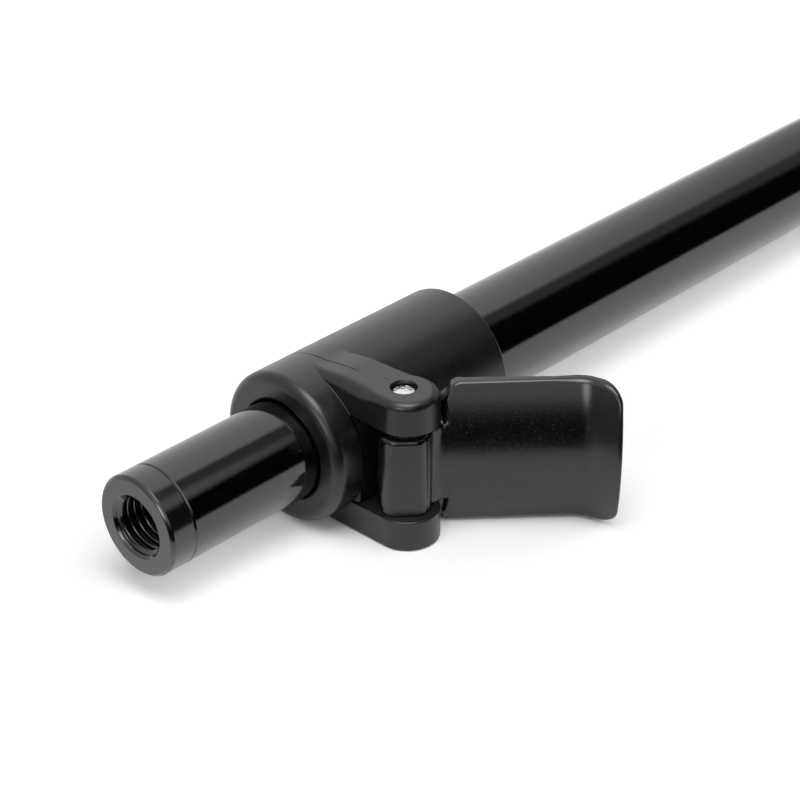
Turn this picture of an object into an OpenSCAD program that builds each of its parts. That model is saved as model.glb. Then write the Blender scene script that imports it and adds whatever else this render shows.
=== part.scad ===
// Telescopic bank stick with a push-type cam lock.
// Millimetres. The stick lies along X with its threaded head at the -X end and its ground
// spike at the +X end. +Z is up along the lever's pivot pin, and the cam lever is on the -Y side.
// x = 0 is where the countersink in the head ends and the threaded socket begins.

/* [Inner pole] */
// Outside diameter of the sliding inner pole
pole_d = 16; // [14:0.5:20]
// Wall thickness of the inner pole
pole_wall = 1; // [0.7:0.1:1.5]
// Space left between the pole's lower end and the spike when the pole is pushed home
closed_gap = 4; // [2:1:60]
// Length of the head that stands out of the lock collar when the pole is pushed home
head_out = 29; // [20:1:45]

/* [Threaded head] */
// Diameter inside the socket's thread crests, the tapping size of its 9.525 mm thread
socket_d = 8.3; // [7.9:0.05:8.6]
// Depth of the threaded socket behind its countersink
socket_l = 17; // [12:1:22]
// Diameter of the countersink at the socket's mouth
mouth_d = 10.3; // [9.6:0.1:11]
// Length of the insert's head in front of the pole's tube
insert_head_l = 4.5; // [3:0.5:8]
// Length of the insert's shank inside the pole's tube
shank_l = 16; // [14:1:25]
// Chamfer round the front of the insert
insert_chamfer = 0.5; // [0.3:0.1:0.9]

/* [Guide at the pole's lower end] */
// Length of the plug inside the pole's tube
plug_l = 16; // [10:1:24]
// Depth of the groove that holds the guide ring, below the pole's surface
groove_depth = 1.8; // [1.4:0.1:2.2]
// Length of the split guide ring
ring_l = 12; // [8:1:16]
// Width of the split in the guide ring
ring_split = 1.2; // [0.8:0.1:2]
// Thickness of the flange that keeps the ring on
flange_l = 2.5; // [2:0.5:4]

/* [Outer tube] */
// Space between the inner pole and the bore of the outer tube
slide_space = 0.45; // [0.4:0.05:0.8]
// Wall thickness of the outer tube
tube_wall = 0.8; // [0.6:0.1:1.2]
// Length of the outer tube
tube_l = 300; // [296:2:340]

/* [Lock collar] */
// Wall of the collar outside the outer tube
collar_wall = 3.1; // [2.6:0.1:4]
// Length of the closed ring at the collar's front
front_ring_l = 5.2; // [4.4:0.2:7]
// Length of the window that the brake shoe sits in
window_l = 9.5; // [9.3:0.1:11]
// Half height of the window, which is also the space between the two lugs
window_h = 7.5; // [7:0.1:7.6]
// Length of the sleeve behind the window
sleeve_l = 23.8; // [20:0.2:32]
// Wall between the window and the end of the outer tube
stop_wall = 2.3; // [1.8:0.1:3]
// Radius of the rounded front edge
front_round = 1.7; // [0.8:0.1:2.4]
// Radius at the mouth of the collar's bore
mouth_round = 0.6; // [0.3:0.1:0.8]
// Width of the two lugs along the stick
lug_w = 8.7; // [8.2:0.1:9.2]
// Radius of the lugs' round ends
lug_end_r = 5; // [4.7:0.1:5.2]
// Height of the lower lug's flat face outside the round of the collar
lug_proud = 0.35; // [0.1:0.05:0.6]
// Height of the upper lug's flat face outside the round of the collar
high_lug_proud = 0.6; // [0.1:0.05:0.9]
// Length over which the flat faces run out towards the middle of the collar
lug_ramp = 7; // [4:0.5:9]
// Reach of the middle of the lugs' round ends past the pivot pin
lug_reach = 0.7; // [0.4:0.1:1.6]
// Radius along the upper lug's outer edge
lug_round = 1.1; // [0.6:0.1:1.6]
// Radius along the lower lug's outer edge
low_lug_round = 0.4; // [0.2:0.1:1.2]

/* [Pivot pin] */
// Diameter of the pivot pin
pin_d = 3.5; // [3:0.1:3.8]
// Depth of the pin's ends below the outsides of the lugs
pin_recess = 0.6; // [0.3:0.1:1]
// Diameter of the pin hole at its stepped mouths
pin_mouth_d = 4.1; // [3.9:0.1:4.6]
// Depth of the pin hole's stepped mouths
pin_mouth_depth = 1; // [0.7:0.1:2]

/* [Cam lever] */
// Radius of the lever's round barrel about the pin
barrel_r = 3.7; // [3.4:0.1:3.8]
// Distance from the pin to the cam's face when the lever is closed
cam_high = 4.8; // [4.6:0.1:4.9]
// Travel that the cam gives the brake shoe over the lever's whole throw
cam_lift = 0.7; // [0.4:0.05:0.75]
// Throw of the lever from closed to fully open, in degrees
lever_throw = 110; // [90:5:110]
// How far the lever stands open in the rest pose, in degrees
rest_open = 44; // [0:1:80]
// Distance from the pin to the lever's free end
lever_l = 32.6; // [28:0.1:38]
// Distance from the pin to the near end of the lever's paddle
paddle_start = 6.8; // [6.4:0.1:8]
// Width of the paddle
paddle_w = 24.4; // [18:0.2:25.2]
// Drop of the paddle's middle below the middle of the fork
paddle_drop = 0.2; // [0:0.1:0.8]
// Thickness of the paddle
paddle_t = 2; // [1.6:0.1:2.4]
// Radius of the paddle's convex face across its width
crown_r = 27; // [20:1:60]
// Height of the paddle's face above the pin, measured outwards
face_rise = 0.3; // [0:0.1:0.6]
// Length of the finger lip at the free end
lip_l = 6.8; // [4:0.2:9]
// Angle at which the finger lip flares outwards
lip_angle = 32; // [15:1:40]
// Radius of the bend between the paddle and its lip
lip_bend_r = 5; // [3:0.5:8]
// Corner radius at the free end
tip_corner = 3; // [2:0.2:5]
// Corner radius beside the barrel
heel_corner = 2.2; // [1.4:0.2:3]
// Radius of the hollow between the barrel and the paddle
neck_fillet = 3; // [2:0.2:3.4]
// Radius along the barrel's upper edge
barrel_round = 0.8; // [0.3:0.1:1]
// Radius along the barrel's lower edge
barrel_low_round = 0.3; // [0.2:0.1:0.8]
// Space between the barrel's upper end and the upper lug, which lets the lever drop on the lower one
barrel_play = 1.7; // [0.4:0.1:2]
// Height by which the web stands above the barrel's upper end
web_over = 0.5; // [0:0.1:0.8]
// Distance of the cam lobe's ends inside the barrel's ends
cam_inset = 0.6; // [0.3:0.1:1.2]

/* [Brake shoe] */
// Thickness of the brake shoe at its middle
shoe_t = 3.2; // [2.6:0.1:3.6]
// Radius on the shoe's long outer edges
shoe_round = 0.8; // [0.4:0.1:1.2]

/* [Ground spike] */
// Length of the spike's spigot inside the outer tube
spigot_l = 25; // [20:1:30]
// Length of the parallel shoulder below the tube
shoulder_l = 5; // [3:1:8]
// Length of the tapered point
point_l = 46; // [30:2:80]
// Diameter where the taper begins
point_d = 14; // [10:0.5:16]
// Radius of the point's tip
tip_r = 1.2; // [0.8:0.1:2]
// Diameter of the spring pin through tube and spigot
spring_pin_d = 2.5; // [2:0.1:3]
// Distance of the spring pin from the end of the tube
spring_pin_inset = 12; // [8:1:18]

/* [Fits] */
// Radial clearance of the pole in the collar's bore
pole_clear = 0.1; // [0.06:0.02:0.2]
// Radial clearance of a turning fit
turn_clear = 0.05; // [0.02:0.01:0.09]
// Radial clearance of a glued or pressed fit
press_clear = 0.02; // [0.01:0.01:0.03]
// Side clearance of the shoe in its window
side_clear = 0.3; // [0.15:0.05:0.4]
// Clearance between the lever's barrel and the lower lug
seat_clear = 0.1; // [0.05:0.05:0.3]
// Gap left between pole and shoe, and between shoe and cam, when the lever is closed
contact_gap = 0.04; // [0.02:0.01:0.06]
// End play of the guide ring in its groove
end_play = 0.2; // [0.1:0.05:0.4]

/* [Hidden] */
$fn = 96;

// Radii of the two tubes and the collar
pole_r = pole_d / 2;
pole_bore_r = pole_r - pole_wall;
tube_bore_r = pole_r + slide_space;
tube_r = tube_bore_r + tube_wall;
collar_r = tube_r + collar_wall;
collar_bore_r = pole_r + pole_clear;

// Places along the stick
socket_r = socket_d / 2;
face_x = -(mouth_d - socket_d) / 2;
pole_start_x = face_x + insert_head_l;
collar_x = face_x + head_out;
window_x = collar_x + front_ring_l;
window_end_x = window_x + window_l;
collar_end_x = window_end_x + sleeve_l;
tube_x = window_end_x + stop_wall;
tube_end_x = tube_x + tube_l;
window_mid_x = window_x + window_l / 2;
pin_x = window_x + lug_end_r;
spring_pin_x = tube_end_x - spring_pin_inset;
pole_end_x = tube_end_x - spigot_l - closed_gap - flange_l - ring_l;

// The chain of fits from the pole out to the pivot pin
pin_r = pin_d / 2;
pin_y = -(pole_r + shoe_t + cam_high + 2 * contact_gap);
lift_per_degree = cam_lift / lever_throw;
shoe_back_off = lift_per_degree * rest_open;
low_lug_top = collar_r + lug_proud;
high_lug_top = collar_r + high_lug_proud;
barrel_low = seat_clear - window_h;
barrel_high = window_h - barrel_play;

// Cuts reach this far past the faces that they open
past = 1;

// A turned form: its outline has the radius across and the stick's X upwards
module turned() {
    rotate([0, 90, 0])
        rotate_extrude()
            children();
}

// Round bar or bore along the stick
module rod_x(r, x0, x1) {
    translate([x0, 0, 0])
        rotate([0, 90, 0])
            cylinder(r = r, h = x1 - x0);
}

// Tube along the stick
module tube_along(r_out, r_in, x0, x1) {
    difference() {
        rod_x(r_out, x0, x1);
        rod_x(r_in, x0 - past, x1 + past);
    }
}

// Machined insert with the threaded socket that takes a rest or an alarm
module head_insert() {
    shank_r = pole_bore_r - press_clear;
    color([0.13, 0.13, 0.14])
        difference() {
            turned()
                polygon([
                    [0, face_x], [pole_r - insert_chamfer, face_x],
                    [pole_r, face_x + insert_chamfer], [pole_r, pole_start_x],
                    [shank_r, pole_start_x],
                    [shank_r, pole_start_x + shank_l - insert_chamfer],
                    [shank_r - insert_chamfer, pole_start_x + shank_l], [0, pole_start_x + shank_l]
                ]);
            rod_x(socket_r, -past, socket_l);
            turned()
                polygon([
                    [0, face_x - past], [mouth_d / 2 + past, face_x - past],
                    [socket_r, 0], [0, 0]
                ]);
        }
}

// Anodised tube that slides in the stick
module inner_tube() {
    color([0.05, 0.05, 0.055])
        tube_along(pole_r, pole_bore_r, pole_start_x, pole_end_x);
}

// Plug pressed into the pole's lower end, with the groove that the guide ring runs on
module guide_plug() {
    groove_r = pole_r - groove_depth;
    groove_end_x = pole_end_x + ring_l;
    color([0.1, 0.1, 0.1])
        union() {
            rod_x(pole_bore_r - press_clear, pole_end_x - plug_l, pole_end_x);
            rod_x(groove_r, pole_end_x, groove_end_x);
            rod_x(pole_r, groove_end_x, groove_end_x + flange_l);
        }
}

// Split ring that runs in the outer tube and stops the pole at the collar
module guide_ring() {
    color([0.82, 0.82, 0.8])
        difference() {
            tube_along(tube_bore_r - turn_clear, pole_r - groove_depth + turn_clear,
                       pole_end_x + end_play / 2, pole_end_x + ring_l - end_play / 2);
            translate([pole_end_x - past, -ring_split / 2, 0])
                cube([ring_l + 2 * past, ring_split, tube_r]);
        }
}

// Anodised outer tube, seated against the stop inside the collar
module outer_tube() {
    color([0.05, 0.05, 0.055])
        difference() {
            tube_along(tube_r, tube_bore_r, tube_x, tube_end_x);
            spring_pin_hole();
        }
}

module spring_pin_hole() {
    translate([spring_pin_x, 0, -tube_r - past])
        cylinder(d = spring_pin_d, h = 2 * (tube_r + past));
}

// Outline of the collar's body: radius across, X upwards
module collar_outline() {
    square_x = collar_x + front_round;
    translate([0, square_x])
        square([collar_r, collar_end_x - square_x]);
    translate([0, collar_x])
        square([collar_r - front_round, front_round]);
    translate([collar_r - front_round, square_x])
        circle(r = front_round);
}

// Outline cut out of the collar: the pole's bore with its rounded mouth, and the tube's socket
module collar_bore_outline() {
    mouth_r = collar_bore_r + mouth_round;
    translate([0, collar_x - past])
        square([collar_bore_r, tube_x - collar_x + 2 * past]);
    difference() {
        translate([0, collar_x - past])
            square([mouth_r, mouth_round + past]);
        translate([mouth_r, collar_x + mouth_round])
            circle(r = mouth_round);
    }
    translate([0, tube_x])
        square([tube_r + press_clear, collar_end_x - tube_x + past]);
}

// One lug: a flat bar that runs out on the collar's round, with a round end beyond the pin
module lug(top, edge) {
    end_y = pin_y - lug_reach;
    depth = top - window_h;
    translate([window_x + lug_end_r, end_y, window_h])
        rotate_extrude() {
            square([lug_end_r, depth - edge]);
            square([lug_end_r - edge, depth]);
            translate([lug_end_r - edge, depth - edge])
                circle(r = edge);
        }
    translate([window_x, -lug_ramp, window_h])
        rotate([90, 0, 0])
            linear_extrude(height = -end_y - lug_ramp) {
                square([lug_w, depth - edge]);
                translate([edge, 0])
                    square([lug_w - 2 * edge, depth]);
                for (x = [edge, lug_w - edge])
                    translate([x, depth - edge])
                        circle(r = edge);
            }
    translate([window_x, 0, 0])
        rotate([90, 0, 90])
            linear_extrude(height = lug_w)
                polygon([[-lug_ramp, window_h], [0, window_h], [0, collar_r], [-lug_ramp, top]]);
}

// Hole for the pivot pin through both lugs, wider at both mouths
module lug_pin_hole() {
    translate([pin_x, pin_y, 0]) {
        translate([0, 0, -low_lug_top - past])
            cylinder(r = pin_r + press_clear, h = low_lug_top + high_lug_top + 2 * past);
        for (bottom = [high_lug_top - pin_mouth_depth, -low_lug_top - past])
            translate([0, 0, bottom])
                cylinder(d = pin_mouth_d, h = pin_mouth_depth + past);
    }
}

// Moulded collar: ring, window with two lugs, and the sleeve that holds the outer tube
module lock_collar() {
    color([0.09, 0.09, 0.095])
        difference() {
            union() {
                turned()
                    collar_outline();
                lug(high_lug_top, lug_round);
                mirror([0, 0, 1])
                    lug(low_lug_top, low_lug_round);
            }
            turned()
                collar_bore_outline();
            translate([window_x, pin_y - barrel_r - 3 * past, -window_h])
                cube([window_l, -pin_y + barrel_r + 3 * past, 2 * window_h]);
            lug_pin_hole();
        }
}

// Steel pin that the lever turns on
module pivot_pin() {
    top = high_lug_top - pin_recess;
    bottom = pin_recess - low_lug_top;
    edge = pin_r / 6;
    color([0.75, 0.75, 0.76])
        translate([pin_x, pin_y, 0])
            rotate_extrude()
                polygon([
                    [0, bottom], [pin_r - edge, bottom], [pin_r, bottom + edge],
                    [pin_r, top - edge], [pin_r - edge, top], [0, top]
                ]);
}

// The lever is drawn closed about its pin: +X runs along the lever and -Y is outwards.
// Cam face for a flat follower: its reach falls evenly as the lever opens, so its outline
// is an involute, given here by the reach towards each direction a of the closed lever.
function cam_reach(a) = cam_high - lift_per_degree * (a - 90);
function cam_point(a) = [
    cam_reach(a) * cos(a) + lift_per_degree * 180 / PI * sin(a),
    cam_reach(a) * sin(a) - lift_per_degree * 180 / PI * cos(a)
];

module cam_outline() {
    step = 4;
    overrun = 6;
    polygon(concat([[0, 0]], [for (a = [90 : step : 90 + lever_throw + overrun]) cam_point(a)]));
}

// Web from the barrel to the paddle, hollowed on the outside, clear of the collar inside
module neck_outline() {
    root_x = paddle_start + paddle_t;
    outer_y = paddle_t / 6;
    inner_y = paddle_t * 1.35;
    fillet_y = outer_y - neck_fillet;
    fillet_x = sqrt(pow(barrel_r + neck_fillet, 2) - pow(fillet_y, 2));
    difference() {
        polygon([
            [0, 0], [0, -barrel_r], [fillet_x, -barrel_r], [fillet_x, outer_y], [root_x, outer_y],
            [root_x, inner_y], [barrel_r, inner_y + contact_gap], cam_point(90)
        ]);
        translate([fillet_x, fillet_y])
            circle(r = neck_fillet);
    }
}

// Round barrel about the pin with softened end edges
module barrel() {
    height = barrel_high - barrel_low;
    rotate_extrude() {
        translate([0, barrel_low])
            square([barrel_r - barrel_round, height]);
        translate([0, barrel_low])
            square([barrel_r - barrel_low_round, height / 2]);
        translate([0, barrel_low + barrel_low_round])
            square([barrel_r, height - barrel_low_round - barrel_round]);
        translate([barrel_r - barrel_round, barrel_high - barrel_round])
            circle(r = barrel_round);
        translate([barrel_r - barrel_low_round, barrel_low + barrel_low_round])
            circle(r = barrel_low_round);
    }
}

// Paddle: rounded sections across the lever, each bent to the crown radius
lip_x = lever_l - lip_l;
bend_x = lip_bend_r * sin(lip_angle);
half_t = paddle_t / 2;
CORNER_STEPS = 6;
function rise(x) =
    x < lip_x ? 0
    : x < lip_x + bend_x ? lip_bend_r - sqrt(pow(lip_bend_r, 2) - pow(x - lip_x, 2))
    : lip_bend_r * (1 - cos(lip_angle)) + (x - lip_x - bend_x) * tan(lip_angle);
function rounding(distance, radius) =
    distance >= radius ? 0 : radius - sqrt(pow(radius, 2) - pow(radius - distance, 2));
function half_width(x) =
    paddle_w / 2 - rounding(x - paddle_start, heel_corner) - rounding(lever_l - x, tip_corner);
function half_thick(x) =
    half_t - rounding(x - paddle_start, half_t) - rounding(lever_l - x, half_t);

// Places of the sections: close together round the corners and along the bend
SECTIONS = concat(
    [for (k = [1 : CORNER_STEPS]) paddle_start + heel_corner * (1 - cos(90 * k / CORNER_STEPS))],
    [for (k = [0 : 3]) lip_x + bend_x * k / 3],
    [for (k = [CORNER_STEPS : -1 : 1]) lever_l - tip_corner * (1 - cos(90 * k / CORNER_STEPS))]
);

// One section as points round a bent, round-ended bar
ARC_STEPS = 14;
END_STEPS = 6;
function section(x) =
    let (
        t = half_thick(x),
        mid_r = crown_r - half_t,
        crest = face_rise + rise(x) - crown_r,
        spread = asin((half_width(x) - t) / mid_r)
    )
    concat(
        [for (k = [0 : ARC_STEPS]) let (a = spread * (2 * k / ARC_STEPS - 1))
            [x, -(crest + (mid_r + t) * cos(a)), (mid_r + t) * sin(a)]],
        [for (k = [1 : END_STEPS - 1]) let (b = 180 * k / END_STEPS)
            [x, -(crest + mid_r * cos(spread) + t * cos(spread + b)),
             mid_r * sin(spread) + t * sin(spread + b)]],
        [for (k = [ARC_STEPS : -1 : 0]) let (a = spread * (2 * k / ARC_STEPS - 1))
            [x, -(crest + (mid_r - t) * cos(a)), (mid_r - t) * sin(a)]],
        [for (k = [END_STEPS - 1 : -1 : 1]) let (b = 180 * k / END_STEPS)
            [x, -(crest + mid_r * cos(spread) + t * cos(spread + b)),
             -mid_r * sin(spread) - t * sin(spread + b)]]
    );

// Triangles over one end section: strips between its outer and inner arcs, and a fan in each
// round end. A section's points run along the outer arc, round one end and back on the other side.
function end_triangles(first) =
    let (
        far = 2 * ARC_STEPS + END_STEPS,
        strip = [for (k = [0 : ARC_STEPS - 1]) each [[k, k + 1, far - k], [k + 1, far - k - 1, far - k]]],
        fans = [for (k = [1 : END_STEPS - 1]) each [
            [ARC_STEPS, ARC_STEPS + k, ARC_STEPS + k + 1],
            [far, far + k, (far + k + 1) % (far + END_STEPS)]
        ]]
    )
    [for (triangle = concat(strip, fans)) [for (point = triangle) first + point]];

module paddle() {
    loops = [for (x = SECTIONS) section(x)];
    size = len(loops[0]);
    last = len(loops) - 1;
    sides = [
        for (i = [0 : last - 1], j = [0 : size - 1])
            let (next = (j + 1) % size)
            each [
                [i * size + j, i * size + next, (i + 1) * size + j],
                [i * size + next, (i + 1) * size + next, (i + 1) * size + j]
            ]
    ];
    near_end = [for (triangle = end_triangles(0)) [triangle[2], triangle[1], triangle[0]]];
    polyhedron(points = [for (loop = loops) each loop],
               faces = concat(sides, near_end, end_triangles(last * size)));
}

// Moulded lever: barrel, cam, neck and paddle in one piece
module cam_lever() {
    web_low = barrel_low + barrel_low_round / 2;
    cam_low = barrel_low + cam_inset;
    color([0.09, 0.09, 0.095])
        translate([pin_x, pin_y, 0])
            rotate([0, 0, -rest_open])
                difference() {
                    union() {
                        barrel();
                        translate([0, 0, web_low])
                            linear_extrude(height = barrel_high + web_over - web_low)
                                neck_outline();
                        translate([0, 0, cam_low])
                            linear_extrude(height = barrel_high - cam_inset - cam_low)
                                cam_outline();
                        translate([0, 0, -paddle_drop])
                            paddle();
                    }
                    translate([0, 0, barrel_low - past])
                        cylinder(r = pin_r + turn_clear, h = 2 * (window_h + past));
                }
}

// Moulded shoe that the cam presses on the pole through the collar's window
module brake_shoe() {
    half_w = window_l / 2 - side_clear / 2;
    half_h = window_h - side_clear;
    back = pole_r + contact_gap + shoe_t;
    front = sqrt(max(0, pow(pole_r, 2) - pow(half_h, 2))) - contact_gap;
    color([0.14, 0.14, 0.14])
        translate([window_mid_x, -shoe_back_off, 0])
            rotate([0, 90, 0])
                difference() {
                    translate([0, 0, -half_w])
                        linear_extrude(height = 2 * half_w) {
                            translate([-half_h, -back + shoe_round])
                                square([2 * half_h, back - shoe_round - front]);
                            translate([-half_h + shoe_round, -back])
                                square([2 * (half_h - shoe_round), back - front]);
                            for (side = [-1, 1])
                                translate([side * (half_h - shoe_round), -back + shoe_round])
                                    circle(r = shoe_round);
                        }
                    cylinder(r = pole_r + contact_gap, h = 3 * half_w, center = true);
                }
}

// Turned ground spike: a spigot in the tube, a shoulder against its end, and a long taper
module ground_spike() {
    spigot_r = tube_bore_r - press_clear;
    shoulder_end_x = tube_end_x + shoulder_l;
    edge = 0.6;
    taper_x = shoulder_end_x + (tube_r - point_d / 2);
    color([0.13, 0.13, 0.14])
        difference() {
            union() {
                turned()
                    polygon([
                        [0, tube_end_x - spigot_l],
                        [spigot_r - edge, tube_end_x - spigot_l],
                        [spigot_r, tube_end_x - spigot_l + edge],
                        [spigot_r, tube_end_x], [tube_r, tube_end_x],
                        [tube_r, shoulder_end_x], [point_d / 2, taper_x],
                        [tip_r, shoulder_end_x + point_l - tip_r],
                        [0, shoulder_end_x + point_l - tip_r]
                    ]);
                translate([shoulder_end_x + point_l - tip_r, 0, 0])
                    sphere(r = tip_r);
            }
            spring_pin_hole();
        }
}

// Rolled spring pin that keeps the spike in the tube
module spring_pin() {
    r = spring_pin_d / 2 - press_clear;
    color([0.6, 0.6, 0.62])
        translate([spring_pin_x, 0, -tube_r + press_clear])
            difference() {
                cylinder(r = r, h = 2 * (tube_r - press_clear));
                translate([0, 0, -past])
                    cylinder(r = r / 2, h = 2 * (tube_r + past));
                translate([0, -r / 5, -past])
                    cube([2 * r, 2 * r / 5, 2 * (tube_r + past)]);
            }
}

head_insert();
inner_tube();
guide_plug();
guide_ring();
outer_tube();
lock_collar();
pivot_pin();
cam_lever();
brake_shoe();
ground_spike();
spring_pin();
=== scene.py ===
import math

import bmesh
import bpy
import numpy as np
from mathutils import Matrix, Vector


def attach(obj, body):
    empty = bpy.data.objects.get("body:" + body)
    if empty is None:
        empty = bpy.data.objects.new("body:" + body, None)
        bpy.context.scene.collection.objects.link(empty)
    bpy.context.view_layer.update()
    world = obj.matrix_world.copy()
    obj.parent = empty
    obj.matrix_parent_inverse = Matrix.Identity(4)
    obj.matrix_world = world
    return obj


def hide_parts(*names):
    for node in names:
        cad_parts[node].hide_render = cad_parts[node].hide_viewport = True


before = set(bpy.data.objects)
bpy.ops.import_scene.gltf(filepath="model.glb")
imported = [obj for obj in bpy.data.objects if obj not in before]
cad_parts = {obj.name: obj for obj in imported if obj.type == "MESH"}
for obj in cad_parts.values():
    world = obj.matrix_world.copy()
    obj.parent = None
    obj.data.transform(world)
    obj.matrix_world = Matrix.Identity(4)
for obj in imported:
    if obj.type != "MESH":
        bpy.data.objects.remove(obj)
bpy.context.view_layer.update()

# Sizes are in millimetres along the stick's own axes, as on the drawing, and this turns them to metres
MM = 0.001

# The tubes, along the stick's axis
POLE_R = 8.0
POLE_BORE_R = 7.0
POLE_EDGE = 0.22
TUBE_R = 9.25
FACE_X = -1.0
SEAM_X = 3.5
POLE_END_X = 301.5
TUBE_X = 45.0

# The threaded socket for a 3/8 inch BSF stud: 20 threads to the inch, Whitworth form
PITCH = 1.27
CREST_R = 4.15
ROOT_R = 4.76
MOUTH_R = 5.15
THREAD_END_X = 15.6
SOCKET_END_X = 17.0
SHANK_R = 6.98
SHANK_END_X = 19.5
# What the flat crest and the flank take of half a pitch, and how much of the flank is rounded
CREST_SHARE = 0.18
FLANK_SHARE = 0.56
ROOT_ROUNDING = 0.28

# The lock collar, its two lugs and the pivot
COLLAR_X = 28.0
COLLAR_END_X = 66.5
COLLAR_R = 12.35
COLLAR_BORE_R = 8.1
TUBE_PLAY = 0.02
WINDOW = (33.2, 42.7)
WINDOW_HALF = 7.5
LUG_TOP = 12.95
LOW_LUG_TOP = 12.7
LUG_REAR = 41.9
LUG_END = (38.2, -16.78)
LUG_END_R = 5.0
PIN = (38.2, -16.08)
PIN_R = 1.75
PIN_PLAY = 0.04
PIN_RECESS = 0.6
PIN_MOUTH_R = 2.06
PIN_MOUTH_DEEP = 1.0
# How far the collar's edges are rounded
RING_EDGE = 1.7
SLEEVE_EDGE = 0.45
LUG_EDGE = 0.4
LUG_INNER_EDGES = (0.12, 0.25)
PIN_HOLE_EDGE = 0.08

# The cam lever, drawn closed about its pin: s runs along it, n outwards and z along the pin
OPEN_DEGREES = 44.0
BARREL_R = 3.7
BARREL_LOW = -7.4
BARREL_HIGH = 5.8
BARREL_SHOULDER = 1.5
SHOE_SIDE_SHOULDER = 1.05
FOOT_HIGH = -6.1
FOOT_FLARE = 0.08
LEVER_PIN_PLAY = 0.06
WEB_HIGH = 6.4
CAM_FROM = 90
CAM_TO = 207
CAM_HIGH = 4.75
CAM_LIFT = 0.7 / 110
CAM_MIDDLE = -0.8
CAM_HALF = 6.0
LEVER_END = 32.6
PADDLE_HALF = 12.2
PADDLE_DROP = 0.2
PADDLE_CREST = 0.3
PADDLE_THICK = 2.0
PADDLE_TAPER = 0.55
CROWN_R = 27.0
HEEL_S = 6.6
HEEL_THICKER = 0.6
HEEL_CORNER_R = 2.2
LIP_CORNER_R = 2.8
HEEL_LEAN = 0.34
LIP_START = 25.8
LIP_BEND_R = 5.0
LIP_ANGLE = math.radians(32)
# How far the lever's edges are rounded, and the fillets between its parts
BARREL_TOP_EDGE = 0.9
BARREL_FOOT_EDGE = 0.12
NECK_TOP_EDGE = 1.1
NECK_FOOT_EDGE = 0.3
NECK_FILLET = 0.6
CAM_EDGE = 0.5
CAM_FILLET = 0.5
LEVER_BORE_EDGE = 0.15


# Meshes

def shown(mesh, name, body, finish, stands_for):
    """Puts a finished mesh in the scene: on its CAD body, in its finish, in place of its CAD node."""
    piece = bpy.data.objects.new(name, mesh)
    bpy.context.scene.collection.objects.link(piece)
    mesh.materials.append(finish)
    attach(piece, body)
    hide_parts(stands_for)


def smoothed(mesh, crease=30):
    """Shades a mesh smooth, but crisp where faces meet at more than the crease in degrees."""
    mesh.shade_smooth()
    mesh.set_sharp_from_angle(angle=math.radians(crease))


def skin_of(points, faces, crease=30):
    """A smooth-shaded mesh in metres from points in millimetres."""
    mesh = bpy.data.meshes.new("skin")
    mesh.from_pydata((np.asarray(points, float) * MM).tolist(), [], faces)
    form = bmesh.new()
    form.from_mesh(mesh)
    bmesh.ops.remove_doubles(form, verts=form.verts, dist=2e-7)
    bmesh.ops.dissolve_degenerate(form, edges=form.edges, dist=1e-7)
    bmesh.ops.recalc_face_normals(form, faces=form.faces)
    form.to_mesh(mesh)
    form.free()
    smoothed(mesh, crease)
    return mesh


def circle(steps):
    """Angles once round, in even steps."""
    return np.linspace(0, 2 * math.pi, steps, endpoint=False)


def bands(rings, steps):
    """Faces between rings of points that follow one another, each given by its first point's number."""
    faces = []
    for here, there in zip(rings, rings[1:]):
        for k in range(steps):
            after = (k + 1) % steps
            faces.append((here + k, here + after, there + after, there + k))
    return faces


def turned(outline, steps=240):
    """Points and faces of a form turned on the stick's axis from its closed outline of (x, radius)."""
    points = [(x, r * math.sin(a), r * math.cos(a)) for x, r in outline for a in circle(steps)]
    rings = [i * steps for i in range(len(outline))]
    return points, bands(rings + rings[:1], steps)


def box(a, b):
    """Distance to a square corner from the distances to its two sides, below zero inside."""
    return np.hypot(np.maximum(a, 0), np.maximum(b, 0)) + np.minimum(np.maximum(a, b), 0)


def rounded_or(a, b, radius):
    """Two forms as one, with a hollow fillet of that radius where they meet."""
    reach = np.hypot(np.maximum(radius - a, 0), np.maximum(radius - b, 0))
    return np.maximum(np.minimum(a, b), radius) - reach


def rounded_and(a, b, radius):
    """What two forms share, with its edges rounded to that radius."""
    reach = np.hypot(np.maximum(radius + a, 0), np.maximum(radius + b, 0))
    return np.minimum(np.maximum(a, b), -radius) + reach


def easing(value, start, end):
    """Goes smoothly from 0 at start to 1 at end."""
    t = np.clip((value - start) / (end - start), 0, 1)
    return t * t * (3 - 2 * t)


def slope_of(form, points, step=0.004):
    """How fast the form's depth changes along x, y and z."""
    slope = np.empty_like(points)
    for axis in range(3):
        shift = np.zeros(3)
        shift[axis] = step
        slope[:, axis] = (form(*(points + shift).T) - form(*(points - shift).T)) / (2 * step)
    return slope


def along_axis(axis, inner):
    """Slices that pair each grid point with the next one along an axis. The other axes are whole, or
    without their first and last points if only the inner ones are wanted."""
    near = [slice(1, -1) if inner else slice(None)] * 3
    far = list(near)
    near[axis], far[axis] = slice(0, -1), slice(1, None)
    return tuple(near), tuple(far)


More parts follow.
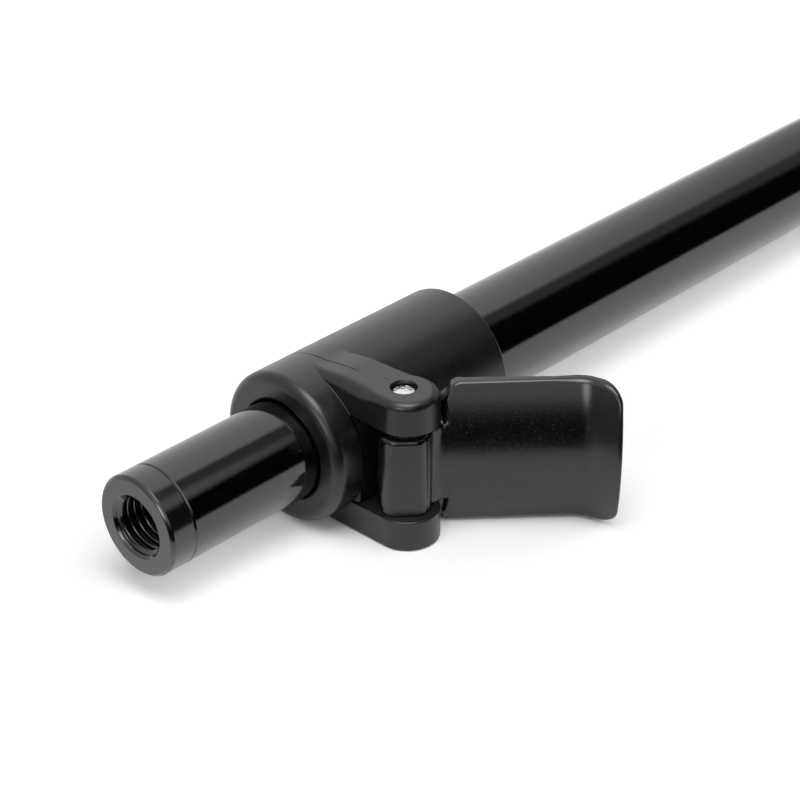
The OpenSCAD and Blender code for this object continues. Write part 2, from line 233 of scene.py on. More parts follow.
def cell_points(grid, depth):
    """A point in each cell of the grid that the surface crosses: the mean of where it cuts the cell's
    edges. Also each cell's number among them, -1 where there is none."""
    inside = depth < 0
    shape = tuple(n - 1 for n in depth.shape)
    total = np.zeros(shape + (3,))
    count = np.zeros(shape)
    for axis in range(3):
        near, far = along_axis(axis, inner=False)
        crossed = inside[near] != inside[far]
        gap = np.where(crossed, depth[near] - depth[far], 1)
        share = np.where(crossed, depth[near] / gap, 0)
        place = np.stack([g[near] for g in grid], -1)
        place[..., axis] += share * (grid[axis][far] - grid[axis][near])
        place[~crossed] = 0
        others = [a for a in range(3) if a != axis]
        for first in (0, 1):
            for second in (0, 1):
                part = [slice(None)] * 3
                part[others[0]] = slice(first, first + shape[others[0]])
                part[others[1]] = slice(second, second + shape[others[1]])
                total += place[tuple(part)]
                count += crossed[tuple(part)]
    used = count > 0
    number = np.full(shape, -1)
    number[used] = np.arange(used.sum())
    return total[used] / count[used][:, None], number


def cell_faces(inside, number):
    """Four-sided faces, one round each edge of the grid that the surface crosses."""
    faces = []
    for axis in range(3):
        b, c = [(1, 2), (2, 0), (0, 1)][axis]
        near, far = along_axis(axis, inner=True)
        here, there = inside[near], inside[far]
        for outward in (True, False):
            cell = np.argwhere((here & ~there) if outward else (~here & there)) + 1
            cell[:, axis] -= 1
            ring = []
            for db, dc in [(0, 0), (1, 0), (1, 1), (0, 1)]:
                at = cell.copy()
                at[:, b] -= 1 - db
                at[:, c] -= 1 - dc
                ring.append(number[at[:, 0], at[:, 1], at[:, 2]])
            faces.append(np.stack(ring if outward else ring[::-1], 1))
    return np.concatenate(faces)


def pressed(form, points, reach, rounds=4):
    """Moves points onto the form's true surface, by no more than the reach in each round."""
    flattest, tiny = 0.25, 1e-9
    for _ in range(rounds):
        slope = slope_of(form, points)
        depth = form(*points.T)
        move = (depth / np.maximum((slope ** 2).sum(1), flattest))[:, None] * slope
        length = np.linalg.norm(move, axis=1, keepdims=True)
        points = points - move * np.minimum(1, reach / np.maximum(length, tiny))
    return points


def moulded(form, xs, ys, zs):
    """The skin of a moulded form, whose depth is below zero inside it, drawn through a grid of cells
    and then pressed onto the true surface. Returns points, faces and the surface's own normals."""
    grid = np.meshgrid(xs, ys, zs, indexing="ij")
    depth = form(*grid)
    points, number = cell_points(grid, depth)
    points = pressed(form, points, min(np.diff(a).min() for a in (xs, ys, zs)))
    slope = slope_of(form, points, 0.02)
    normals = slope / np.maximum(np.linalg.norm(slope, axis=1, keepdims=True), 1e-9)
    return points, cell_faces(depth < 0, number), normals


def moulded_mesh(points, faces, normals):
    """A mesh in metres that is shaded by the surface's own normals."""
    mesh = bpy.data.meshes.new("moulding")
    mesh.from_pydata((points * MM).tolist(), [], faces.tolist())
    mesh.shade_smooth()
    mesh.normals_split_custom_set_from_vertices(normals.tolist())
    return mesh


def spaced(*runs):
    """Grid lines from runs of (start, end, spacing), one after the other."""
    lines = [np.arange(start, end - step / 2, step) for start, end, step in runs]
    return np.concatenate(lines + [[runs[-1][1]]])


# The threaded head

def thread_radius(phase):
    """Radius of the socket's wall along one pitch: rounded roots, 55 degree flanks and flat crests."""
    from_crest = np.abs((phase % 1.0) - 0.5) * 2
    straight = np.clip((from_crest - CREST_SHARE) / FLANK_SHARE, 0, 1)
    rounded = easing(straight, 0, 1)
    return CREST_R + (ROOT_R - CREST_R) * ((1 - ROOT_ROUNDING) * straight + ROOT_ROUNDING * rounded)


def threaded_head():
    """Points and faces of the insert: turned outside, and inside a right-handed thread that runs out
    through the countersink."""
    steps, per_pitch = 216, 26
    around = circle(steps)
    turns = int((THREAD_END_X - FACE_X) / PITCH) + 2
    points = []
    rings = []

    def add_ring(xs, rs):
        rings.append(len(points))
        points.extend(zip(xs, rs * np.sin(around), rs * np.cos(around)))

    for j in range(-per_pitch, turns * per_pitch):
        along = FACE_X + (j / per_pitch + around / (2 * math.pi)) * PITCH
        place = np.clip(along, FACE_X + 0.06, THREAD_END_X)
        wall = thread_radius((place - FACE_X) / PITCH - around / (2 * math.pi))
        cone = MOUTH_R - (place - FACE_X)
        add_ring(place, np.maximum(wall, cone))
    outline = [
        # The plain end of the socket
        (THREAD_END_X + 0.05, CREST_R), (SOCKET_END_X, CREST_R), (SOCKET_END_X + 0.5, 0.02),
        # The shank inside the pole
        (SHANK_END_X, 0.02), (SHANK_END_X, SHANK_R - 0.5), (SHANK_END_X - 0.5, SHANK_R), (SEAM_X, SHANK_R),
        # The edge at the seam
        (SEAM_X, POLE_R - 0.26), (SEAM_X - 0.2, POLE_R - 0.03), (SEAM_X - 0.25, POLE_R),
        # The outside and the bevel round the face
        (SEAM_X - 0.32, POLE_R), (FACE_X + 0.6, POLE_R), (FACE_X + 0.53, POLE_R),
        (FACE_X + 0.48, POLE_R - 0.02), (FACE_X + 0.02, POLE_R - 0.48), (FACE_X, POLE_R - 0.53),
        # The face, in to the countersink
        (FACE_X, POLE_R - 0.6), (FACE_X, MOUTH_R + 0.1), (FACE_X, MOUTH_R + 0.03)]
    even = np.ones(steps)
    for x, r in outline:
        add_ring(even * x, even * r)
    return points, bands(rings + rings[:1], steps)


# The collar

def collar_form(x, y, z):
    """Depth of the lock collar: ring, lugs and sleeve, less its bores, window and pin hole.
    Each easing says between which places along x or y something changes."""
    across = np.hypot(y, z)
    high = np.abs(z)
    upper = z > 0
    barrel = rounded_and(across - COLLAR_R, COLLAR_X - x, RING_EDGE)
    barrel = rounded_and(barrel, x - COLLAR_END_X, SLEEVE_EDGE)
    # The lug: a bar from the middle of the collar, a round end beyond the pin, both with a flat outer face
    round_end = np.hypot(x - LUG_END[0], y - LUG_END[1]) - LUG_END_R
    rear = LUG_REAR - 0.5 * easing(y, -12.0, 0.0)
    bar = np.maximum(np.maximum(WINDOW[0] - x, x - rear), LUG_END[1] - y)
    behind_pin = easing(x, 38.5, 40.5)
    waist = rounded_or(round_end, bar, 0.8 * behind_pin + 0.001)
    plan = np.where(x < 38.5, np.minimum(round_end, bar), waist)
    top = np.where(upper, LUG_TOP, LOW_LUG_TOP)
    flat = COLLAR_R + (top - COLLAR_R) * easing(y, 0.0, -7.0)
    # The upper lug's edge is softer round its end, along its front and behind
    at_end = np.maximum(easing(x, 41.0, 38.0), easing(y, -12.5, -14.5))
    in_front = easing(y, -15.5, -11.5) * easing(x, 37.5, 35.0)
    softer = 0.8 * at_end + 0.7 * in_front + 0.4 * behind_pin
    lug = rounded_and(plan, high - flat, LUG_EDGE + np.where(upper, softer, 0.0))
    lug = rounded_and(lug, WINDOW_HALF - high, np.where(upper, *LUG_INNER_EDGES))
    lug = np.maximum(lug, y)
    # The fillet between them, which is sharper at the ring
    fillet = (0.25 - 0.245 * easing(x, 36.0, 34.4)) * easing(y, -0.2, -3.5) + 0.005
    form = rounded_or(barrel, lug, fillet)
    bore = np.minimum(np.maximum(across - COLLAR_BORE_R, x - TUBE_X - 0.5),
                      np.maximum(across - TUBE_R - TUBE_PLAY, TUBE_X - x))
    form = rounded_and(form, -bore, 0.2 + 0.4 * easing(x, 31.0, 30.0))
    window = np.maximum(np.maximum(WINDOW[0] - x, x - WINDOW[1]), np.maximum(high - WINDOW_HALF, y))
    form = rounded_and(form, -window, 0.3 - 0.2 * easing(y, -9.0, -13.0))
    to_pin = np.hypot(x - PIN[0], y - PIN[1])
    mouth = np.maximum(to_pin - PIN_MOUTH_R, top - PIN_MOUTH_DEEP - high)
    hole = np.minimum(to_pin - PIN_R - PIN_PLAY, mouth)
    return rounded_and(form, -hole, PIN_HOLE_EDGE)


# The lever

def cam_outline():
    """The cam lobe's outline about the pin: an involute whose reach falls evenly as the lever opens."""
    line = [(0.0, 0.0)]
    fall = CAM_LIFT * 180 / math.pi
    for degrees in range(CAM_FROM, CAM_TO + 1, 3):
        a = math.radians(degrees)
        reach = CAM_HIGH - CAM_LIFT * (degrees - CAM_FROM)
        line.append((reach * math.cos(a) + fall * math.sin(a), -(reach * math.sin(a) - fall * math.cos(a))))
    # Past the last working place the lobe runs softly into the barrel
    for degrees in range(CAM_TO + 5, CAM_TO + 45, 5):
        a = math.radians(degrees)
        reach = 3.5 + 0.5 * math.cos(math.radians((degrees - CAM_TO) * 4))
        line.append((reach * math.cos(a), -reach * math.sin(a)))
    return line


def neck_outline():
    """The web between the barrel and the paddle, whose outer side runs in a hollow into the paddle's face."""
    hollow_s, hollow_n, hollow_r = 5.95, PADDLE_CREST + 2.3, 2.4
    hollow = [(hollow_s + hollow_r * math.cos(a), hollow_n + hollow_r * math.sin(a))
              for a in map(math.radians, range(194, 271, 4))]
    beside_barrel = [(2.6, -2.6), (2.6, 2.0)]
    inside_paddle = [(7.6, PADDLE_CREST - 0.06), (8.2, PADDLE_CREST - 0.4), (8.6, -1.3), (8.6, -2.3)]
    inner_side = [(7.0, -2.7), (3.6, -2.74)]
    return beside_barrel + hollow + inside_paddle + inner_side


def inside_outline(s, n, line):
    """Distance to a closed outline, below zero inside it."""
    nearest = np.full(np.shape(s), 1e9)
    sign = np.ones(np.shape(s))
    for (ax, ay), (bx, by) in zip(line, line[1:] + line[:1]):
        ex, ey = bx - ax, by - ay
        wx, wy = s - ax, n - ay
        t = np.clip((wx * ex + wy * ey) / (ex * ex + ey * ey), 0, 1)
        nearest = np.minimum(nearest, (wx - ex * t) ** 2 + (wy - ey * t) ** 2)
        above, below = n >= ay, n < by
        left = ex * wy > ey * wx
        flip = (above & below & left) | (~above & ~below & ~left)
        sign = np.where(flip, -sign, sign)
    return sign * np.sqrt(nearest)


CAM_LINE = cam_outline()
NECK_LINE = neck_outline()


def paddle_form(s, n, z):
    """Depth of the paddle: a plate crowned across its width, with a flared lip at its free end."""
    z = z + PADDLE_DROP
    bend = LIP_BEND_R * math.sin(LIP_ANGLE)
    on = np.clip(s - LIP_START, 0, bend)
    rise = LIP_BEND_R - np.sqrt(LIP_BEND_R ** 2 - on ** 2)
    rise = rise + np.maximum(s - LIP_START - bend, 0) * math.tan(LIP_ANGLE)
    slant = np.sqrt(1 - np.clip(on / LIP_BEND_R, 0, 1) ** 2)
    across = np.hypot(z, n - (PADDLE_CREST + rise - CROWN_R))
    # The plate is thinner towards the lip and thicker at the heel
    taper = PADDLE_TAPER * np.clip((s - 9) / 18, 0, 1)
    thick = PADDLE_THICK - taper + HEEL_THICKER * easing(s, 9.5, 6.5)
    outer = (across - CROWN_R) * slant
    inner = (CROWN_R - thick / slant - across) * slant
    # The heel's end face leans towards the lugs
    near_heel = np.clip((13 - s) / 5, 0, 1)
    along = s + HEEL_LEAN * np.maximum(0.1 - n, 0) * near_heel * easing(z, 11.0, 9.2)
    # The corners are rounder at the lip than at the heel
    middle, half = (HEEL_S + LEVER_END) / 2, (LEVER_END - HEEL_S) / 2
    radius = HEEL_CORNER_R + (LIP_CORNER_R - HEEL_CORNER_R) * easing(along, middle - 1, middle + 1)
    plan = box(np.abs(along - middle) - half + radius, np.abs(z) - PADDLE_HALF + radius)
    # The upper edge is sharper in front and softer behind, but not at the lip
    upper = easing(z, 9.0, 11.0) * easing(s, 27.0, 22.0)
    plate = rounded_and(plan - radius, outer, 0.7 - 0.35 * upper)
    return rounded_and(plate, inner, 0.5 + 0.4 * upper)


def lever_form(s, n, z):
    """Depth of the whole lever about its pin."""
    # The cam is the same at every height, so on a grid one layer of it is enough
    flat_s, flat_n = (s, n) if np.ndim(s) < 3 else (s[:, :, :1], n[:, :, :1])
    to_pin = np.hypot(s, n)
    # The barrel is square-shouldered in front, less so where it passes the shoe, and wider at its foot
    shoulder = np.where(s > 0, BARREL_SHOULDER, SHOE_SIDE_SHOULDER)
    block = box(np.abs(s) - shoulder, np.abs(n) - shoulder) - (BARREL_R - shoulder)
    foot = FOOT_FLARE * np.maximum(FOOT_HIGH - z, 0) ** 2
    side = np.where(n > 0, block, to_pin - BARREL_R) - foot
    barrel = rounded_and(side, z - BARREL_HIGH, BARREL_TOP_EDGE)
    barrel = rounded_and(barrel, BARREL_LOW - z, BARREL_FOOT_EDGE)
    lobe = inside_outline(flat_s, flat_n, CAM_LINE)
    cam = rounded_and(lobe, np.abs(z - CAM_MIDDLE) - CAM_HALF, CAM_EDGE)
    # The web follows the paddle's crown where it runs into it
    crown = CROWN_R - np.sqrt(CROWN_R ** 2 - (z + PADDLE_DROP) ** 2)
    web = inside_outline(s, n + crown * easing(s, 4.5, 6.0), NECK_LINE)
    neck = rounded_and(web, z - WEB_HIGH, NECK_TOP_EDGE)
    neck = rounded_and(neck, BARREL_LOW + 0.1 - z, NECK_FOOT_EDGE)
    form = rounded_or(barrel, neck, NECK_FILLET)
    fillet = 0.15 + 0.6 * easing(z, 5.0, 6.2) * easing(s, 7.0, 6.3)
    form = rounded_or(form, paddle_form(s, n, z), fillet)
    form = rounded_or(form, cam, CAM_FILLET)
    return rounded_and(form, PIN_R + LEVER_PIN_PLAY - to_pin, LEVER_BORE_EDGE)


def swing(points):
    """Turns points of the closed lever to its rest pose on the stick."""
    a = math.radians(-OPEN_DEGREES)
    s, n, z = points.T
    return np.stack([s * math.cos(a) + n * math.sin(a), s * math.sin(a) - n * math.cos(a), z], 1)


# The pivot pin

def peened_pin():
    """Points and faces of the pin: a plain shank with domed ends, marked by the hammer."""
    steps, dome_r, edge, dome_fall = 96, 1.5, 0.25, 0.10
    chance = np.random.default_rng(7)
    blows = [(chance.uniform(-1.6, 1.6), chance.uniform(-1.6, 1.6), chance.uniform(0.3, 0.6),
              chance.uniform(0.012, 0.04)) for _ in range(46)]
    around = circle(steps)
    dome = np.linspace(0.0, dome_r, 26)[1:]
    rim = PIN_R - edge + edge * np.sin(np.linspace(0.2, math.pi / 2, 5))
    radii = np.concatenate([dome, rim])
    points, rings = [], []
    for side, lug_top in ((1, LUG_TOP), (-1, LOW_LUG_TOP)):
        for r in radii[::side]:
            x, y = r * np.cos(around), r * np.sin(around)
            fall = dome_fall * (r / PIN_R) ** 2
            if r > dome_r:
                fall = fall + edge - np.sqrt(max(edge ** 2 - (r - PIN_R + edge) ** 2, 0))
            top = np.full(steps, lug_top - PIN_RECESS - fall)
            if r <= dome_r:
                for bx, by, size, deep in blows:
                    top = top - deep * np.exp(-((x - bx) ** 2 + (y - by) ** 2) / (size * 0.6) ** 2)
            rings.append(len(points))
            points.extend(zip(PIN[0] + x, PIN[1] + y, side * top))
    caps = [tuple(range(ring, ring + steps)) for ring in (rings[0], rings[-1])]
    return points, bands(rings, steps) + caps


# Shader nodes

def linear(code, alpha=1.0):
    """A colour written as #rrggbb, as the light values that the shaders take."""
    parts = [int(code[i:i + 2], 16) / 255 for i in (1, 3, 5)]
    return [c / 12.92 if c <= 0.04045 else ((c + 0.055) / 1.055) ** 2.4 for c in parts] + [alpha]


def put(tree, kind, feeds=(), **settings):
    """Adds a node to a tree, sets it up and links what feeds it. Feeds are (input, value or output)."""
    node = tree.nodes.new(kind)
    for name, value in settings.items():
        setattr(node, name, value)
    for socket, value in feeds:
        if isinstance(value, bpy.types.NodeSocket):
            tree.links.new(value, node.inputs[socket])
        else:
            node.inputs[socket].default_value = value
    return node


def maths(tree, how, *values):
    """A sum on single values."""
    return put(tree, "ShaderNodeMath", enumerate(values), operation=how).outputs[0]


def vectors(tree, how, *values):
    """A sum on vectors. A dot product and a length give a single value."""
    node = put(tree, "ShaderNodeVectorMath", enumerate(values), operation=how)
    return node.outputs["Value" if how in ("DOT_PRODUCT", "LENGTH") else "Vector"]


def ramp(tree, value, start, end, low=0.0, high=1.0, how="LINEAR"):
    """Goes from low to high as the value goes from start to end."""
    feeds = [("Value", value), ("From Min", start), ("From Max", end), ("To Min", low), ("To Max", high)]
    return put(tree, "ShaderNodeMapRange", feeds, interpolation_type=how).outputs[0]


def mixed(tree, share, one, other):
    """One value, going over to the other as the share goes from 0 to 1."""
    return put(tree, "ShaderNodeMix", [(0, share), (2, one), (3, other)]).outputs[0]


def blend(tree, share, one, other):
    """One colour, going over to the other as the share goes from 0 to 1."""
    return put(tree, "ShaderNodeMix", [(0, share), (6, one), (7, other)], data_type="RGBA").outputs[2]


def noise(tree, place, size, detail):
    """Soft spots about the size in millimetres."""
    feeds = [("Vector", place), ("Scale", 1000 / size), ("Detail", detail)]
    return put(tree, "ShaderNodeTexNoise", feeds).outputs["Fac"]


def relief(tree, height, strength, deep):
    """Normals of a surface with that relief, whose full height is given in millimetres."""
    feeds = [("Height", height), ("Strength", strength), ("Distance", deep * MM)]
    return put(tree, "ShaderNodeBump", feeds).outputs[0]


# Finishes

def new_finish(name):
    """An empty material, with the place on the piece that its patterns are read from."""
    finish = bpy.data.materials.new(name)
    finish.use_nodes = True
    tree = finish.node_tree
    tree.nodes.clear()
    place = put(tree, "ShaderNodeTexCoord").outputs["Object"]
    return finish, tree, place


def surface(tree, colour, roughness, normal, *constants):
    """The shader at a material's end."""
    feeds = [("Base Color", colour), ("Roughness", roughness), ("Normal", normal), *constants]
    shader = put(tree, "ShaderNodeBsdfPrincipled", feeds)
    put(tree, "ShaderNodeOutputMaterial", [("Surface", shader.outputs["BSDF"])])


def drawn_anodised_aluminium():
    """Drawn aluminium tube, bright dipped and anodised black. The sealed oxide is a hard clear layer over a
    black dye, so it mirrors like dark glass, blurred a little along the draw lines."""
    finish, tree, place = new_finish("drawn_anodised_aluminium")
    # Draw lines 0.12 mm apart round the tube and some 40 mm long
    drawn = vectors(tree, "MULTIPLY", place, (1000 / 40, 1000 / 0.12, 1000 / 0.12))
    lines = put(tree, "ShaderNodeTexNoise", [("Vector", drawn), ("Scale", 1.0), ("Detail", 2.0)])
    # Cloudy patches of the sealing bath, about 5 mm across
    rough = ramp(tree, noise(tree, place, 5, 3.0), 0.3, 0.7, 0.07, 0.1)
    # Lint and handling specks about 0.3 mm across
    dust = ramp(tree, noise(tree, place, 0.28, 1.0), 0.66, 0.76)
    colour = blend(tree, dust, linear("#020202"), linear("#202020"))
    surface(tree, colour, rough, relief(tree, lines.outputs["Fac"], 0.12, 0.004), ("IOR", 1.76))
    return finish


def turned_anodised_aluminium():
    """Aluminium bar turned on a lathe and anodised black: satin, with faint rings left by the tool."""
    finish, tree, place = new_finish("turned_anodised_aluminium")
    # The tool moved along the outside and inwards over the faces, 0.09 mm in each turn
    length = put(tree, "ShaderNodeSeparateXYZ", [(0, place)]).outputs["X"]
    radius = vectors(tree, "LENGTH", vectors(tree, "MULTIPLY", place, (0.0, 1.0, 1.0)))
    travel = maths(tree, "SUBTRACT", length, radius)
    marks = put(tree, "ShaderNodeTexNoise", [("W", travel), ("Scale", 1000 / 0.09), ("Detail", 1.0)],
                noise_dimensions="1D")
    # Cloudy patches of the sealing bath, about 4 mm across
    clouds = noise(tree, place, 4, 3.0)
    rough = ramp(tree, clouds, 0.3, 0.7, 0.1, 0.15)
    colour = blend(tree, clouds, linear("#070708"), linear("#0c0c0d"))
    surface(tree, colour, rough, relief(tree, marks.outputs["Fac"], 0.1, 0.003), ("IOR", 1.76))
    return finish


def groove(tree, place, start, end, deep):
    """A thin groove from one (x, y) in millimetres to another, 1 where it is cut at full depth. It is
    0.14 to 0.36 mm wide and fades out over its last 0.8 mm."""
    half = math.dist(start, end) * MM / 2
    ex, ey = [(b - a) * MM / (2 * half) for a, b in zip(start, end)]
    offset = vectors(tree, "SUBTRACT", place, (start[0] * MM, start[1] * MM, 0.0))
    aside = maths(tree, "ABSOLUTE", vectors(tree, "DOT_PRODUCT", offset, (-ey, ex, 0.0)))
    along = vectors(tree, "DOT_PRODUCT", offset, (ex, ey, 0.0))
    from_middle = maths(tree, "ABSOLUTE", maths(tree, "SUBTRACT", along, half))
    cut = ramp(tree, aside, 0.18 * MM, 0.07 * MM)
    return maths(tree, "MULTIPLY", cut, ramp(tree, from_middle, half, half - 0.8 * MM, 0.0, deep))


def moulded_black_nylon(name, smoothest, roughest, marks=()):
    """Glass filled nylon, black through, from a fine spark-eroded mould: a soft sheen over a fine grain.
    Its upper side can also carry marks, which are grooves."""
    finish, tree, place = new_finish(name)
    # Grain of the mould, about 0.2 mm
    height = maths(tree, "MULTIPLY", noise(tree, place, 0.2, 2.0), 0.17)
    # Uneven gloss where the melt filled the mould, some 4 mm across
    rough = ramp(tree, noise(tree, place, 4, 3.0), 0.3, 0.7, smoothest, roughest)
    if marks:
        cuts = 0.0
        for start, end, deep in marks:
            cuts = maths(tree, "ADD", cuts, groove(tree, place, start, end, deep))
        level = put(tree, "ShaderNodeSeparateXYZ", [(0, place)]).outputs["Z"]
        cuts = maths(tree, "MULTIPLY", cuts, maths(tree, "GREATER_THAN", level, 0.0))
        height = maths(tree, "SUBTRACT", height, cuts)
        # Inside a groove the gloss is gone
        rough = mixed(tree, cuts, rough, 0.95)
    # Faces that look up are painted lighter: partly a bloom of fine dust, partly a painted sheen of the
    # overhead light
    normal = put(tree, "ShaderNodeNewGeometry").outputs["Normal"]
    facing_up = put(tree, "ShaderNodeSeparateXYZ", [(0, normal)]).outputs["Z"]
    # Painted overhead sheen and dust: the colour is lighter wherever the face points up
    top_sheen_and_dust = blend(tree, ramp(tree, facing_up, 0.93, 1.0), linear("#080808"), linear("#201f1e"))
    # Grey specks of glass and dust about 0.2 mm across
    dust = ramp(tree, noise(tree, place, 0.2, 1.0), 0.645, 0.745)
    colour = blend(tree, dust, top_sheen_and_dust, linear("#343434"))
    surface(tree, colour, rough, relief(tree, height, 0.5, 0.03), ("IOR", 1.58))
    return finish


def natural_nylon():
    """Natural nylon, moulded without dye: milky white, slightly waxy."""
    finish, tree, place = new_finish("natural_nylon")
    clouds = noise(tree, place, 3, 2.0)
    colour = blend(tree, clouds, linear("#dcd9cf"), linear("#e8e6de"))
    surface(tree, colour, 0.4, relief(tree, clouds, 0.1, 0.02), ("IOR", 1.53))
    return finish


def bright_steel():
    """Bright drawn steel, its ends peened: white metal with small hammer facets."""
    finish, tree, place = new_finish("bright_steel")
    # Scratches and facets about 0.35 mm across
    facets = noise(tree, place, 0.35, 3.0)
    rough = ramp(tree, facets, 0.3, 0.7, 0.2, 0.34)
    colour = blend(tree, facets, linear("#d8d8d6"), linear("#f0f0ee"))
    surface(tree, colour, rough, relief(tree, facets, 0.2, 0.02), ("Metallic", 1.0))
    return finish


# The marks on the collar: where each starts and ends, and its depth
COLLAR_MARKS = [
    # The mould's parting line over the top, and the knit line on the lug
    ((36.75, 12.4), (36.9, -2.0), 0.6), ((36.85, 2.0), (37.1, -8.3), 1.0),
    # Scratches beside the pin and at the lug's end
    ((38.05, -11.5), (38.3, -13.6), 0.6), ((36.6, -18.4), (35.0, -18.3), 0.6),
    ((38.4, -18.5), (38.55, -19.8), 0.5), ((35.2, -15.5), (36.0, -16.15), 0.4)]

gloss_black = drawn_anodised_aluminium()
satin_black = turned_anodised_aluminium()
nylon_black = moulded_black_nylon("grained_black_nylon", 0.29, 0.35)
nylon_marked = moulded_black_nylon("grained_black_nylon_with_mould_lines", 0.29, 0.35, COLLAR_MARKS)
nylon_gloss = moulded_black_nylon("smooth_black_nylon", 0.17, 0.21)
nylon_white = natural_nylon()
steel = bright_steel()


# The pieces

def make_head():
    mesh = skin_of(*threaded_head(), crease=38)
    shown(mesh, "threaded_head_insert", "pole", satin_black, "head_insert")


def make_pole():
    edge = POLE_EDGE
    outline = [(SEAM_X + edge * 0.85, POLE_R - 0.02), (SEAM_X + edge, POLE_R), (SEAM_X + edge * 1.4, POLE_R),
               (POLE_END_X - edge, POLE_R), (POLE_END_X, POLE_R - edge),
               (POLE_END_X, POLE_BORE_R), (SEAM_X, POLE_BORE_R), (SEAM_X, POLE_R - edge)]
    shown(skin_of(*turned(outline)), "sliding_pole", "pole", gloss_black, "inner_tube")


def make_collar():
    fine, coarse = 0.2, 1.0
    xs = spaced((27.3, 46.1, fine), (46.1, 65.1, coarse), (65.1, 67.1, fine))
    ys = spaced((-22.3, 13.1, fine))
    zs = spaced((-13.1, 13.1, fine))
    mesh = moulded_mesh(*moulded(collar_form, xs, ys, zs))
    shown(mesh, "collar_moulding", "outer", nylon_marked, "lock_collar")


def make_lever():
    fine = 0.19
    lines = spaced((-5.6, 33.2, fine)), spaced((-6.6, 5.4, fine)), spaced((-12.9, 12.9, fine))
    points, faces, normals = moulded(lever_form, *lines)
    points = swing(points) + np.array([PIN[0], PIN[1], 0])
    # The swing also turns the lever over, and its faces with it
    mesh = moulded_mesh(points, faces[:, ::-1], swing(normals))
    shown(mesh, "lever_moulding", "lever", nylon_gloss, "cam_lever")


def make_pin():
    mesh = skin_of(*peened_pin(), crease=60)
    shown(mesh, "peened_pivot_pin", "outer", steel, "pivot_pin")


def dress_carried_over():
    """Gives their finishes to the pieces that are shown as the CAD model has them."""
    finishes = {"outer_tube": gloss_black, "ground_spike": satin_black, "spring_pin": steel,
                "guide_plug": nylon_black, "guide_ring": nylon_white, "brake_shoe": nylon_black}
    for node, finish in finishes.items():
        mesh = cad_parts[node].data
        mesh.materials.clear()
        mesh.materials.append(finish)
        smoothed(mesh)


# The studio

# The camera, as fitted to the photo: its place in millimetres, where its picture's right, its top and
# its back point, and its lens
CAMERA_AT = (-161.919, -203.212, 170.326)
CAMERA_RIGHT = (0.68286, -0.73054, -0.00395)
CAMERA_UP = (0.37008, 0.34125, 0.86406)
CAMERA_BACK = (-0.62988, -0.59149, 0.50338)
CAMERA_LENS = 96.40
# The camera's heading on the floor and the direction to its right: the studio is bright behind the stick
# and dark round the camera
AWAY = (0.7290, 0.6846, 0.0)
RIGHT = (0.6846, -0.7290, 0.0)
# The lamp overhead, seen from the collar
KEY_OVER = (0.05, -0.01, 0.0)
KEY_FROM = (-0.25, -0.20, 0.947)
# Small soft lights to the right of the camera and low on its left
SIDE_FROM = (0.41, -0.56, 0.72)
LOW_FROM = (-0.909, -0.299, 0.292)
# The wall behind sends little light down to the sheet: that comes from the right and, low, from the left
RIGHT_SOFTBOX = (0.515, -0.786, 0.342)
LEFT_SOFTBOX = (-0.228, 0.970, 0.087)
FILL = 0.03


def make_camera():
    data = bpy.data.cameras.new("camera")
    data.sensor_width = 36.0
    data.lens = CAMERA_LENS
    data.clip_start, data.clip_end = 0.01, 20
    camera = bpy.data.objects.new("camera", data)
    turn = Matrix((CAMERA_RIGHT, CAMERA_UP, CAMERA_BACK)).transposed().to_4x4()
    camera.matrix_world = Matrix.Translation(Vector(CAMERA_AT) * MM) @ turn
    bpy.context.scene.collection.objects.link(camera)
    bpy.context.scene.camera = camera


def make_key_lamp():
    """A round softbox overhead, one metre from the stick."""
    data = bpy.data.lights.new("softbox", "AREA")
    data.shape = "DISK"
    data.size = 0.7
    data.energy = 4.8
    lamp = bpy.data.objects.new("softbox", data)
    lamp.location = Vector(KEY_OVER) + Vector(KEY_FROM)
    lamp.rotation_mode = "QUATERNION"
    lamp.rotation_quaternion = Vector(KEY_FROM).to_track_quat("Z", "Y")
    bpy.context.scene.collection.objects.link(lamp)


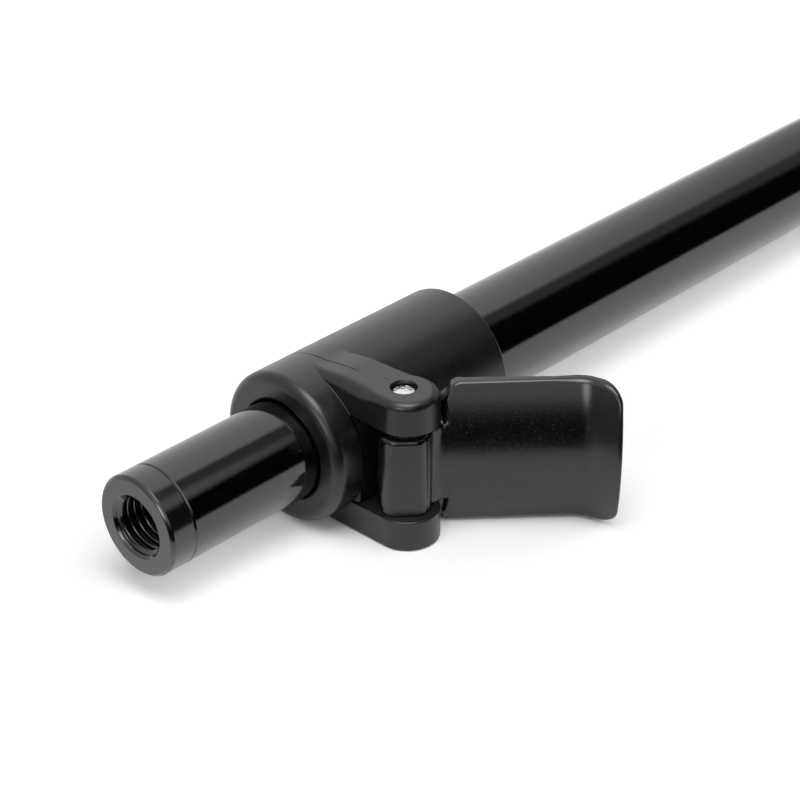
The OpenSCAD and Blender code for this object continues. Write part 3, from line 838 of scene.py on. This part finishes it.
def make_world():
    """A white wall behind the stick, a white sheet below it, and soft lights, dark round the camera.
    Each rise says over which directions the light comes up, and how bright it gets."""
    world = bpy.data.worlds.new("studio")
    bpy.context.scene.world = world
    world.use_nodes = True
    tree = world.node_tree
    tree.nodes.clear()
    toward = put(tree, "ShaderNodeTexCoord").outputs["Generated"]
    parts = put(tree, "ShaderNodeSeparateXYZ", [(0, toward)]).outputs

    def rise(value, start, end, level):
        return ramp(tree, value, start, end, 0.0, level, "SMOOTHSTEP")

    def added(first, *others):
        for other in others:
            first = maths(tree, "ADD", first, other)
        return first

    def times(first, *others):
        for other in others:
            first = maths(tree, "MULTIPLY", first, other)
        return first

    def facing(direction):
        return vectors(tree, "DOT_PRODUCT", toward, direction)

    away, across, up = facing(AWAY), facing(RIGHT), parts["Z"]
    # The wall, brightest a little to the left of the stick, dimmer at both sides and gone round the camera
    wall = added(rise(parts["X"], -0.1, 0.3, 0.35), 0.55, rise(parts["X"], 0.6, 0.85, -0.65))
    wall = times(wall, rise(parts["Y"], -0.15, 0.02, 1.0), rise(away, -0.6, -0.15, 1.0))
    wall = added(wall, rise(parts["Y"], -0.42, -0.29, 0.22))
    # The ceiling
    above = maths(tree, "MAXIMUM", wall, rise(up, 0.84, 0.93, 1.25))
    # A soft light over the camera, a smaller one to the right and another low on the left
    front = times(rise(up, -0.05, 0.3, 1.0), rise(away, -0.1, -0.5, 1.0),
                  rise(across, 0.42, 0.2, 1.0), rise(across, -0.9, -0.5, 1.0))
    side = rise(facing(SIDE_FROM), 0.952, 1.0, 0.8)
    low = rise(facing(LOW_FROM), 0.965, 1.0, 3.0)
    above = added(above, low, added(front, side))
    # The sheet below, which ends nearer on the camera's side
    edge = ramp(tree, away, -0.65, 0.0, 0.42, 0.02)
    on_sheet = rise(added(up, edge), 0.05, -0.05, 1.0)
    light = mixed(tree, on_sheet, above, 1.0)
    # What dull surfaces are lit by
    soft = added(rise(facing(RIGHT_SOFTBOX), 0.5, 1.0, 2.3), rise(facing(LEFT_SOFTBOX), 0.8, 1.0, 7.7), FILL)
    path = put(tree, "ShaderNodeLightPath").outputs
    shed = mixed(tree, path["Is Diffuse Ray"], light, soft)
    # Straight into the camera it is plain white
    strength = mixed(tree, path["Is Camera Ray"], shed, 1.0)
    glow = put(tree, "ShaderNodeBackground", [("Color", (1, 1, 1, 1)), ("Strength", strength)])
    put(tree, "ShaderNodeOutputWorld", [("Surface", glow.outputs[0])])


def make_floor():
    """A white sheet under the stick, which the eye and the gloss see a little overexposed, as in the photo.
    In the gloss it shows only close to the stick, where the stick darkens it."""
    half, below = 3.0, 0.02 * MM
    mesh = bpy.data.meshes.new("sheet")
    level = -LOW_LUG_TOP * MM - below
    mesh.from_pydata([(-half, -half, level), (half, -half, level), (half, half, level), (-half, half, level)],
                     [], [(0, 1, 2, 3)])
    floor = bpy.data.objects.new("sheet", mesh)
    bpy.context.scene.collection.objects.link(floor)
    finish = bpy.data.materials.new("white_paper")
    finish.use_nodes = True
    tree = finish.node_tree
    tree.nodes.clear()
    path = put(tree, "ShaderNodeLightPath").outputs
    seen = maths(tree, "MAXIMUM", path["Is Camera Ray"], path["Is Glossy Ray"])
    paper = put(tree, "ShaderNodeBsdfDiffuse", [("Color", ramp(tree, seen, 0.0, 1.0, 1.0, 1.2))])
    far = ramp(tree, path["Ray Length"], 0.010, 0.026, how="SMOOTHSTEP")
    through = maths(tree, "MULTIPLY", path["Is Glossy Ray"], far)
    clear = put(tree, "ShaderNodeBsdfTransparent")
    laid = put(tree, "ShaderNodeMixShader", [(0, through), (1, paper.outputs[0]), (2, clear.outputs[0])])
    put(tree, "ShaderNodeOutputMaterial", [("Surface", laid.outputs[0])])
    mesh.materials.append(finish)


make_camera()
make_key_lamp()
make_world()
make_floor()
make_head()
make_pole()
make_collar()
make_lever()
make_pin()
dress_carried_over()

bpy.context.scene.view_settings.view_transform = "Standard"
